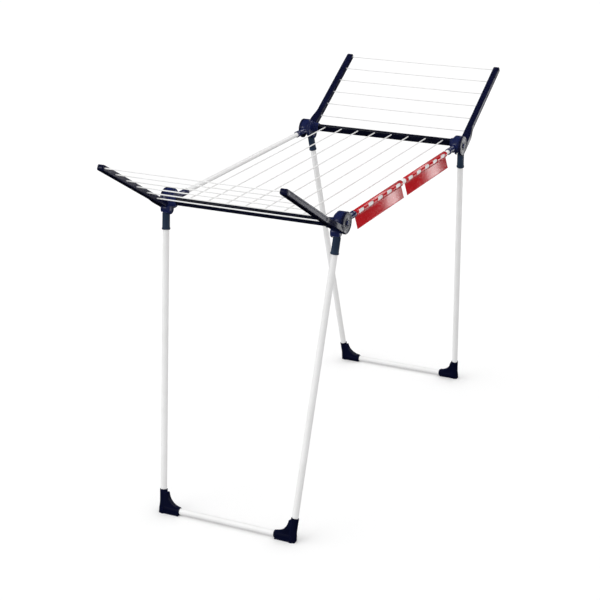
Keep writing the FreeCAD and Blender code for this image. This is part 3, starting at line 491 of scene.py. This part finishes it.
def arm_place():
    """The near right arm: X along the arm from the pivot, Y square to it and up, Z inboard."""
    along = Vector((0, -math.cos(WING_RAISE), math.sin(WING_RAISE)))
    up = Vector((0, math.sin(WING_RAISE), math.cos(WING_RAISE)))
    turn = Matrix((along, up, -X)).transposed().to_4x4()
    return Matrix.Translation((ARM_OUTER, -WING_Y, HUB_Z)) @ turn


def ease(value, low, high):
    """0 below low and 1 above high, with a smooth change between them."""
    t = min(1.0, max(0.0, (value - low) / (high - low)))
    return t * t * (3 - 2 * t)


def arm_section(along):
    """The arm's rounded section with a groove down its outboard face, at a distance along it."""
    tip = max(0.0, along - (ARM_LENGTH - TIP_ROUND))
    shrink = TIP_ROUND - math.sqrt(max(0.0, TIP_ROUND ** 2 - tip ** 2)) if tip else 0.0
    half = ARM_HEIGHT - along / ARM_LENGTH - shrink
    slimmed = (ARM_OUTER - ARM_SLIM - ARM_INSET) * ease(along, SLIM_FROM, SLIM_TO)
    near = ARM_INSET + slimmed + shrink * 0.7
    far = ARM_OUTER - ARM_INNER - shrink * 0.5
    ring = rounded(near, ARM_MIDDLE - half, far, ARM_MIDDLE + half, min(2.6, half * 0.9), 4)
    starts = ease(along, GROOVE_FROM, GROOVE_FROM + GROOVE_RUN_OUT)
    ends = ease(along, GROOVE_TO - GROOVE_RUN_OUT, GROOVE_TO)
    floor = near + GROOVE_DEPTH * starts * (1 - ends)
    lip_width, floor_width = min(3.6, half * 0.5), min(2.9, half * 0.4)
    groove = [(near, ARM_MIDDLE + lip_width), (floor, ARM_MIDDLE + floor_width),
              (floor, ARM_MIDDLE - floor_width), (near, ARM_MIDDLE - lip_width)]
    cut_at = 15                     # between the upper and the lower outboard corner
    return ring[:cut_at] + groove + ring[cut_at:]


def arm():
    """A disc on the wing pivot and a beam that runs off its lower edge, with a row of line holes."""
    # Sections lie close together where the arm slims, where the groove runs out and round the tip.
    stations = [4, 20, 40, 50, SLIM_FROM, 66, 74, 84, 94, 102, SLIM_TO]
    stations += [GROOVE_FROM + t for t in (0, 2, 5, 8, 10)] + list(range(140, 366, 15))
    stations += [GROOVE_TO - t for t in (10, 7, 3, 0)] + [384]
    stations += [ARM_LENGTH - t for t in (TIP_ROUND, 5, 3.2, 1.8, 0.8, 0.25, 0)]
    beam = skin([[(along, y, z) for z, y in arm_section(along)] for along in stations], arm_place())
    clear = prism([(-40, -60), (DEEP_FROM, -60), (DEEP_FROM, 20), (-40, 20)], DISC_DEPTH + 0.3, 40,
                  arm_place())

    outward = Matrix.Translation((ARM_OUTER, -WING_Y, HUB_Z)) @ Matrix.Rotation(math.pi, 4, "Z")
    face = [(0.6, 0.5), (0.6, 9.2), (0.0, 10.0), (0.0, 11.5), (0.4, 12.4), (0.4, 24.9), (0.0, 25.8),
            (0.0, 28.2)] + arc((2.8, DRUM_R - 2.8), 2.8, 180, 90, 4)[1:]
    disc = lathe(face + [(DISC_DEPTH, DRUM_R), (DISC_DEPTH, 0.5)], outward, 96)

    holes = []
    deep = ARM_OUTER - ARM_INNER
    for index in range(WING_LINES):
        spot = arm_place() @ Matrix.Translation((WING_LINE_FIRST + index * WING_LINE_PITCH, ARM_MIDDLE, 0))
        inward = spot @ Matrix.Rotation(-math.pi / 2, 4, "Y")
        holes.append(lathe([(deep - 7, 0.3), (deep - 7, LINE_HOLE_R), (deep - 1.2, LINE_HOLE_R),
                            (deep, 3.2), (deep + 1, 3.2), (deep + 1, 0.3)], inward, 20))
    return carve(union(carve(beam, clear), disc), *holes)


# ---------------------------------------------------------------- crossbars, rails and lines


BAR_END = 240.5             # crossbar's ends, along X
BAR_ROUND = 4.5


def crossbar():
    """The near crossbar, with a groove down its outward face and a row of line holes in the other."""
    rings = []
    for x in (-BAR_END, -120, 0, 120, BAR_END):
        ring = rounded(-BAR_DEPTH, BAR_RISE - BAR_HEIGHT, BAR_DEPTH, BAR_RISE + BAR_HEIGHT, BAR_ROUND, 5)
        cut_at = 18                 # between the upper and the lower corner of the outward face
        floor = -BAR_DEPTH + 0.7
        groove = [(-BAR_DEPTH, 4.5), (floor, 3.7), (floor, -2.7), (-BAR_DEPTH, -3.5)]
        ring = ring[:cut_at] + groove + ring[cut_at:]
        rings.append([(x, y, z) for y, z in ring])
    bar = skin(rings, hub_place())
    holes = []
    for index in range(CENTRAL_LINES):
        x = (index - (CENTRAL_LINES - 1) / 2) * LINE_PITCH
        spot = frame_at(Vector((x, -HUB_Y, HUB_Z + LINE_RISE)), Y, Z)
        holes.append(lathe([(1, 0.3), (1, LINE_HOLE_R), (6.4, LINE_HOLE_R), (7.6, 3.2), (9, 3.2),
                            (9, 0.3)], spot, 20))
    return carve(bar, *holes)


def tube_shell(length, radius, place, steps=40):
    """A hollow tube with softened ends, along the placement's own X."""
    profile = [(0.4, radius - 1), (0, radius - 0.8), (0, radius - 0.3), (0.3, radius)]
    profile += [(length * k / 12, radius) for k in range(1, 12)]
    profile += [(length - 0.3, radius), (length, radius - 0.3), (length, radius - 0.8),
                (length - 0.4, radius - 1)]
    return lathe(profile, place, steps, looped=True)


def taut_line(start, end, radius, sag, steps=14):
    """A round line between two points that hangs by a little at its middle."""
    rings = []
    along = (end - start).normalized()
    side = along.cross(Z).normalized()
    up = side.cross(along)
    count = 24
    for k in range(count + 1):
        t = k / count
        centre = start.lerp(end, t) - Z * (4 * sag * t * (1 - t))
        rings.append([centre + radius * (math.cos(2 * math.pi * n / steps) * side +
                                         math.sin(2 * math.pi * n / steps) * up) for n in range(steps)])
    return skin(rings)


# ---------------------------------------------------------------- leg frames

SLEEVE_TOP = 33.5           # corner point to the sleeve's top, down the leg
SLEEVE_BOTTOM = 81.6        # corner point to the sleeve's mouth, down the leg
SLEEVE_BORE = 34.0          # bore's depth
SLEEVE_R = 11.0
TONGUE_R = 10.0
TONGUE_EYE_R = 3.1


def sleeve():
    """A sleeve for the leg tube with a bead at its mouth, and a tongue with an eye at its top."""
    bottom = LEG_SPAN - SLEEVE_BOTTOM
    long = (SLEEVE_BOTTOM - SLEEVE_TOP) / math.cos(TAPER)
    bead = [(0.3, 9.4), (0.0, 10.4), (0.5, 11.6), (1.6, 12.1), (4.2, 12.15), (5.4, 11.7)]
    side = [(6.4, SLEEVE_R), (20, 10.8), (long - 5, 10.7), (long - 3.4, SLEEVE_R)]
    shoulder = [(long - 2, 10.6), (long - 0.6, 9.2), (long, 6.5), (long, 0.5)]
    bore = [(SLEEVE_BORE, 0.5), (SLEEVE_BORE, TUBE_R + 0.15), (1.0, TUBE_R + 0.15)]
    outside = lathe(bead + side + shoulder + bore, leg_line(bottom), 56, looped=True)
    pivot = Matrix.Translation(leg_pivot() + Vector((TONGUE_X, 0, 0)))
    eye = lathe([(-5.7, TONGUE_EYE_R), (-5.7, 9.3), (-5.0, TONGUE_R), (5.0, TONGUE_R), (5.7, 9.3),
                 (5.7, TONGUE_EYE_R)], pivot, 40, looped=True)
    neck = prism([(-TONGUE_R, -15.5), (TONGUE_R, -15.5), (TONGUE_R, -0.5), (-TONGUE_R, -0.5)],
                 -5.6, 5.6, pivot @ Matrix.Rotation(-SPLAY, 4, "X") @ turned_yz())
    hole = lathe([(-7, 0.4), (-7, TONGUE_EYE_R), (7, TONGUE_EYE_R), (7, 0.4)], pivot, 40)
    return carve(union(outside, eye, neck), hole)


FOOT_OUTER = 216.8          # outboard side of a foot
FOOT_INNER = 151.0          # inboard end of a foot
FOOT_TOP = 69.0             # top of the upright socket
FOOT_TUBE_RISE = 12.4       # foot tube's middle above the floor
FOOT_TUBE_LENGTH = 419.0
FOOT_SOCKET_R = 11.0
FOOT_TUBE_SEAT = 24.2       # lower end of the leg tube's hole
SHAFT_WIDTH = 22.4
SHAFT_TOP = 61.0            # top of the web
TOE_TOP = 22.0
FOOT_ARC = 44.0             # radius of the hollow between the shaft and the toe
WEB_DEPTH = 8.5             # half the web's thickness


def foot():
    """Two round sockets joined by a web with a hollow arc, all cut flat at the sole."""
    flat = leg_frame() @ Matrix.Rotation(math.pi / 2, 4, "X")   # own X across, own Y up, own Z outward
    lean = SHAFT_TOP * math.tan(TAPER)
    shaft_inner = FOOT_OUTER - SHAFT_WIDTH
    outline = [(154, -6), (FOOT_OUTER - 1.5, -6), (FOOT_OUTER, -4.5), (FOOT_OUTER, 14),
               (LEG_FOOT_X + 4 + lean, SHAFT_TOP - 3), (LEG_FOOT_X + 2 + lean, SHAFT_TOP),
               (shaft_inner, SHAFT_TOP)]
    outline += arc((shaft_inner - FOOT_ARC, TOE_TOP + FOOT_ARC), FOOT_ARC, -9, -86, 16) + [(154, 21)]
    web = prism(outline, -WEB_DEPTH, WEB_DEPTH, flat, soft=1.6, steps=3)

    top = (FOOT_TOP - 6) / math.cos(TAPER)
    shaft = lathe([(-16, 0.5), (-16, FOOT_SOCKET_R), (top - 10, 10.9), (top - 9, 11.1), (top - 1.2, 11.2),
                   (top - 0.3, 10.8), (top, 10.1), (top, 0.5)], leg_line(6.0), 56)
    across = leg_frame() @ Matrix.Translation((FOOT_INNER, 0, FOOT_TUBE_RISE))
    far = LEG_FOOT_X - FOOT_INNER
    toe = lathe([(0, 0.5), (0, 9.8), (0.4, 10.5), (1.6, FOOT_SOCKET_R), (8, FOOT_SOCKET_R), (9, 10.7),
                 (far, 10.7), (far, 0.5)], across, 56)

    floor = prism([(-300, -300), (300, -300), (300, 300), (-300, 300)], -60, 0,
                  Matrix.Translation((0, -FOOT_Y, 0)))
    bore = TUBE_R + TUBE_FIT
    upright = lathe([(0, 0.4), (0, bore), (60, bore), (60, 0.4)], leg_line(FOOT_TUBE_SEAT), 44)
    tube_hole = lathe([(-2, 0.4), (-2, bore), (60, bore), (60, 0.4)], across, 44)
    pit = lathe([(-1.6, 0.4), (-1.6, 2.1), (-0.5, 2.1), (-0.5, 4.7), (2, 4.7), (2, 0.4)],
                plug_place(), 32)
    return carve(union(web, shaft, toe), floor, upright, tube_hole, pit)


def plug_place():
    """The plug in a foot's outward face: own X outward."""
    x = LEG_FOOT_X + FOOT_TUBE_RISE * math.tan(TAPER)
    return leg_frame() @ frame_at(Vector((x, -11.2, FOOT_TUBE_RISE)), -Y, Z)


def plug():
    """A plug with a dished head."""
    return lathe([(-1.5, 0.4), (-1.5, 1.9), (-0.45, 1.95), (-0.45, 4.0), (0.3, 4.0), (0.8, 3.6),
                  (1.0, 2.8), (0.75, 1.6), (0.75, 0.4)], plug_place(), 32)


# ---------------------------------------------------------------- peg holders


CURL_R = 8.3                # middle of the strip's curl over the rail
STRIP_HALF = 1.0            # half the strip's thickness
WAIST_R = 3.0               # middle of the strip's bend below the curl
CURL_FROM, CURL_TO = 120, -60
FLARE = 15                  # strip's lean below the waist, in degrees
HOLDER_LENGTH = 330.0
WINDOWS = 5
WINDOW_PITCH = 66.0
HOLDER_STARTS = (("near", -357.0), ("far", 3.0))


def holder(start):
    """A strip that curls over the rail, narrows to a waist and flares out, with a row of windows."""
    waist = arc((0, 0), CURL_R + WAIST_R, CURL_TO, CURL_TO, 1)[0]
    flare = math.radians(FLARE)
    down = (math.sin(flare), -math.cos(flare))
    side = (math.cos(flare), math.sin(flare))

    def bent(offset):
        curl = arc((0, 0), CURL_R + offset, CURL_FROM, CURL_TO, 26)
        return curl + arc(waist, WAIST_R - offset, CURL_TO + 180, 180 + FLARE, 8)[1:]

    outer, inner = bent(STRIP_HALF), bent(-STRIP_HALF)
    last = arc(waist, WAIST_R, 180 + FLARE, 180 + FLARE, 1)[0]

    def plate(offset, along):
        return (last[0] + side[0] * offset + down[0] * along, last[1] + side[1] * offset + down[1] * along)

    outside = outer + [plate(STRIP_HALF, t) for t in (8, 9, 16, 24, 29.5, 30.2)]
    lip = arc(plate(0.0, 31.5), 1.7, 50, -230, 10)
    inside = [plate(-STRIP_HALF, t) for t in (30.2, 29.5, 24, 16, 9, 8)] + list(reversed(inner))
    curl_end = arc((0, 0), CURL_R, CURL_FROM, CURL_FROM, 1)[0]
    hook = arc(curl_end, STRIP_HALF, CURL_FROM + 180, CURL_FROM, 5)
    outline = outside + lip + inside + hook[1:-1]
    place = Matrix.Translation((RAIL_X, start, RAIL_Z)) @ turned_xz()
    strip = prism(outline, 0, HOLDER_LENGTH, place, soft=0.35, steps=2)
    windows = []
    for index in range(WINDOWS):
        y = start + HOLDER_LENGTH / 2 + (index - (WINDOWS - 1) / 2) * WINDOW_PITCH
        opening = rounded(-19, -6.0, 19, 7.8, 5.5, 5)
        windows.append(prism(opening, 4.3, 16, Matrix.Translation((RAIL_X, y, RAIL_Z)) @ turned_yz()))
    return carve(strip, *windows)


def turned_xz():
    """Turns a prism's plane to XZ: own X to +X, own Y to +Z, own Z to +Y."""
    return Matrix(((1, 0, 0, 0), (0, 0, 1, 0), (0, 1, 0, 0), (0, 0, 0, 1)))


def pin_head():
    """The rounded head of a wing pivot pin, with a dimple."""
    return lathe([(0.0, 0.4), (0.0, 7.2), (0.8, 7.5), (1.5, 7.1), (2.1, 5.6), (2.4, 3.4), (2.4, 3.0),
                  (1.9, 2.4), (1.9, 0.4)], wing_place(ARM_OUTER + 0.2), 48)


# ---------------------------------------------------------------- build the rack

PARTS = {"hub": hub, "arm": arm, "sleeve": sleeve, "foot": foot}
shapes = {name: as_mesh(make(), f"shape_{name}") for name, make in PARTS.items()}


def copy_of(name):
    bm = bmesh.new()
    bm.from_mesh(shapes[name])
    return bm


for corner, (sx, sy) in CORNERS.items():
    end = corner.split("_")[0]
    piece(f"{corner}_hub_body", copy_of("hub"), NAVY, "frame",
          [f"{corner}_hub"], (sx, sy))
    piece(f"{corner}_wing_arm", copy_of("arm"), ARM, f"{end}_wing",
          [f"{corner}_arm"], (sx, sy))
    piece(f"{corner}_sleeve", copy_of("sleeve"), SLEEVE, f"{end}_legs",
          [f"{corner}_leg_sleeve"], (sx, sy))
    piece(f"{corner}_foot_elbow", copy_of("foot"), FOOT, f"{end}_legs",
          [f"{corner}_foot"], (sx, sy))
    start = FOOT_TUBE_SEAT + 0.2
    stop = LEG_SPAN - SLEEVE_BOTTOM + (SLEEVE_BORE - 0.5) * math.cos(TAPER)
    piece(f"{corner}_leg", tube_shell((stop - start) / math.cos(TAPER), TUBE_R, leg_line(start)), TUBE,
          f"{end}_legs", [f"{corner}_leg_tube"], (sx, sy))

foot_tube_place = leg_frame() @ Matrix.Translation((-FOOT_TUBE_LENGTH / 2, 0, FOOT_TUBE_RISE))
for end, sy in (("near", 1), ("far", -1)):
    piece(f"{end}_bar", crossbar(), BAR, "frame", [f"{end}_crossbar"], (1, sy))
    piece(f"{end}_lower_tube", tube_shell(FOOT_TUBE_LENGTH, TUBE_R, foot_tube_place), TUBE,
          f"{end}_legs", [f"{end}_foot_tube"], (1, sy))
    for side, sx in (("left", -1), ("right", 1)):
        nodes = [f"{end}_foot_rivets"] if side == "right" else []
        piece(f"{end}_{side}_foot_plug", plug(), FOOT, f"{end}_legs", nodes, (sx, sy))
        nodes = ["wing_pivot_pins"] if (end, side) == ("near", "right") else []
        piece(f"{end}_{side}_pin_head", pin_head(), NAVY, "frame", nodes, (sx, sy))

rail_place = frame_at(Vector((RAIL_X, -RAIL_LENGTH / 2, RAIL_Z)), Y, Z)
for side, sx in (("left", -1), ("right", 1)):
    piece(f"{side}_rail", tube_shell(RAIL_LENGTH, RAIL_R, rail_place, 36), TUBE, "frame",
          [f"{side}_side_rail"], (sx, 1))

for index in range(CENTRAL_LINES):
    x = (index - (CENTRAL_LINES - 1) / 2) * LINE_PITCH
    ends = [Vector((x, y, HUB_Z + LINE_RISE)) for y in (-LINE_REACH, LINE_REACH)]
    piece(f"middle_line_{index + 1}", taut_line(*ends, LINE_RADIUS, 1.2), LINE, "frame",
          [f"central_line_{index + 1}"])

for end, sy in (("near", 1), ("far", -1)):
    for index in range(WING_LINES):
        spot = arm_place() @ Vector((WING_LINE_FIRST + index * WING_LINE_PITCH, ARM_MIDDLE, 0))
        ends = [Vector((x, spot.y, spot.z)) for x in (-WING_LINE_REACH, WING_LINE_REACH)]
        piece(f"{end}_outer_line_{index + 1}", taut_line(*ends, LINE_RADIUS, 0.6), LINE, f"{end}_wing",
              [f"{end}_wing_line_{index + 1}"], (1, sy))

for end, start in HOLDER_STARTS:
    piece(f"{end}_holder_strip", holder(start), RED, f"{end}_holder",
          [f"{end}_peg_holder"])

# The leg pivot pins are simple cylinders already, so they keep their CAD shape.
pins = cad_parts["leg_pivot_pins"]
pins.data.materials.clear()
pins.data.materials.append(STEEL)


# ---------------------------------------------------------------- studio and camera

DOME_LOW, DOME_HIGH = 0.48, 1.02        # dome light straight from below and straight from above
SKY_FROM = Vector((-0.75, -0.55, 0.5))  # towards the broad soft light
SKY_POWER = 0.95
SOFTBOXES = (                           # name, place, aim, size and power of each gloss light
    ("key", (-2.2, -3.6, 2.6), (0.0, 0.0, 0.8), (0.7, 1.1), 16.0),
    ("back", (0.6, 3.6, 3.0), (0.0, 0.0, 0.8), (2.4, 0.7), 26.0),
    ("side", (3.4, 0.4, 1.8), (0.0, 0.0, 0.8), (0.6, 1.2), 10.0),
    ("low", (0.75, 1.6, 0.62), (0.28, 0.5, 0.9), (0.35, 0.5), 1.8),
    ("near", (0.78, 0.62, 0.5), (0.28, -0.48, 0.88), (0.4, 0.4), 1.1),
)


CAMERA_PLACE = (1.9208, -4.1356, 2.1448)
CAMERA_AZIMUTH = math.radians(25.78)    # camera's side of the rack, from -Y towards +X
CAMERA_ELEVATION = math.radians(20.18)
CAMERA_ROLL = math.radians(-0.23)
CAMERA_LENS = 94.84


def studio():
    """A pale floor, a dome that lights without reflections, a broad sun and gloss-only softboxes."""
    bm = bmesh.new()
    bmesh.ops.create_grid(bm, x_segments=2, y_segments=2, size=60.0)
    floor = bpy.data.objects.new("studio_floor", as_mesh(bm, "studio_floor"))
    material, tree, bsdf = shader("studio_paper")
    bsdf.inputs["Base Color"].default_value = (0.97, 0.97, 0.97, 1.0)
    bsdf.inputs["Roughness"].default_value = 1.0
    bsdf.inputs["Specular IOR Level"].default_value = 0.0
    floor.data.materials.append(material)
    bpy.context.scene.collection.objects.link(floor)

    # The floor only takes light; the dome below the horizon lights the object in its place, so
    # the underside of the object stays darker than its top.
    floor.visible_diffuse = False
    floor.visible_glossy = False

    world = bpy.data.worlds.new("studio")
    world.use_nodes = True
    tree = world.node_tree
    place = node(tree, "ShaderNodeTexCoord")
    split = node(tree, "ShaderNodeSeparateXYZ")
    tree.links.new(place.outputs["Generated"], split.inputs["Vector"])
    dome = spread(tree, split.outputs["Z"], DOME_LOW, DOME_HIGH, -1.0, 1.0)
    tree.nodes["Background"].inputs["Color"].default_value = (1.0, 1.0, 1.0, 1.0)
    tree.links.new(dome, tree.nodes["Background"].inputs["Strength"])
    bpy.context.scene.world = world
    world.cycles_visibility.glossy = False

    for name, spot, aim, size, power in SOFTBOXES:
        data = bpy.data.lights.new(name, "AREA")
        data.shape = "RECTANGLE"
        data.size, data.size_y = size
        data.energy = power
        lamp = bpy.data.objects.new(name, data)
        lamp.location = spot
        lamp.rotation_euler = (Vector(aim) - Vector(spot)).to_track_quat("-Z", "Y").to_euler()
        lamp.visible_diffuse = False
        lamp.visible_camera = False
        bpy.context.scene.collection.objects.link(lamp)
    sun = bpy.data.lights.new("sky", "SUN")
    sun.energy = SKY_POWER
    sun.angle = math.radians(70)
    lamp = bpy.data.objects.new("sky", sun)
    lamp.rotation_euler = SKY_FROM.to_track_quat("Z", "Y").to_euler()
    lamp.visible_glossy = False
    bpy.context.scene.collection.objects.link(lamp)


def camera():
    """A long lens that looks down on the rack's near right corner."""
    level = math.cos(CAMERA_ELEVATION)
    back = Vector((math.sin(CAMERA_AZIMUTH) * level, -math.cos(CAMERA_AZIMUTH) * level,
                   math.sin(CAMERA_ELEVATION)))
    right = (-back).cross(Z).normalized()
    up = back.cross(right)
    tilt = Quaternion(back, CAMERA_ROLL)
    right.rotate(tilt)
    up.rotate(tilt)
    turn = Matrix((right, up, back)).transposed()
    data = bpy.data.cameras.new("camera")
    data.sensor_width = 36.0
    data.lens = CAMERA_LENS
    data.dof.use_dof = False
    data.clip_end = 200.0
    view = bpy.data.objects.new("camera", data)
    view.matrix_world = Matrix.Translation(CAMERA_PLACE) @ turn.to_4x4()
    bpy.context.scene.collection.objects.link(view)
    bpy.context.scene.camera = view


studio()
camera()
bpy.context.scene.view_settings.view_transform = "Standard"

for mesh in shapes.values():
    bpy.data.meshes.remove(mesh)
